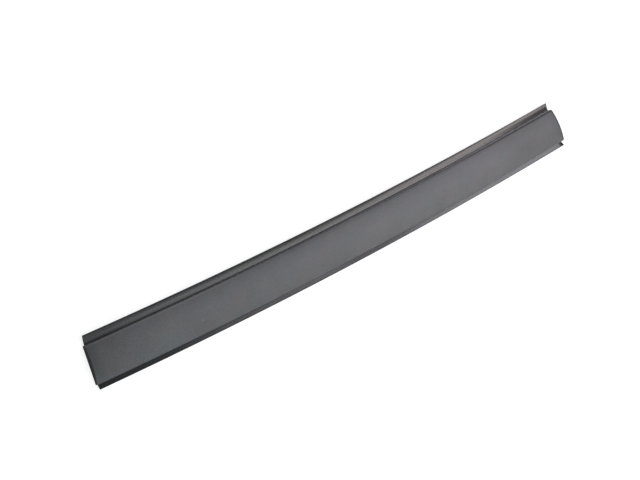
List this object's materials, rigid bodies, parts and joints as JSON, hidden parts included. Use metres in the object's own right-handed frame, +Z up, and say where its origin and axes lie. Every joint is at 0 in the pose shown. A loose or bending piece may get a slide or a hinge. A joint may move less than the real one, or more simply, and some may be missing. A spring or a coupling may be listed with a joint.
{
  "type": "roof moulding",
  "caption": "Long, gently bowed roof moulding: a crowned satin panel with a wide curled lip on one side, a narrow lip on the other, bare tongues at the ends and a clip channel underneath.",
  "frame": {"origin": "on the flat underside, at the middle of the length, on the middle line of the crowned panel and of the clip channel", "axes": "+X along the strip towards the end with the longer tongue, +Y across it towards the wide lip, +Z up out of the crowned face"},
  "size_m": [0.6445, 0.0566, 0.0052],
  "materials": {
    "moulded_plastic": "grained satin on the panel, smoother on the lips"
  },
  "bodies": {
    "root": {"roof_moulding": "moulded_plastic"}
  },
  "joints": []
}
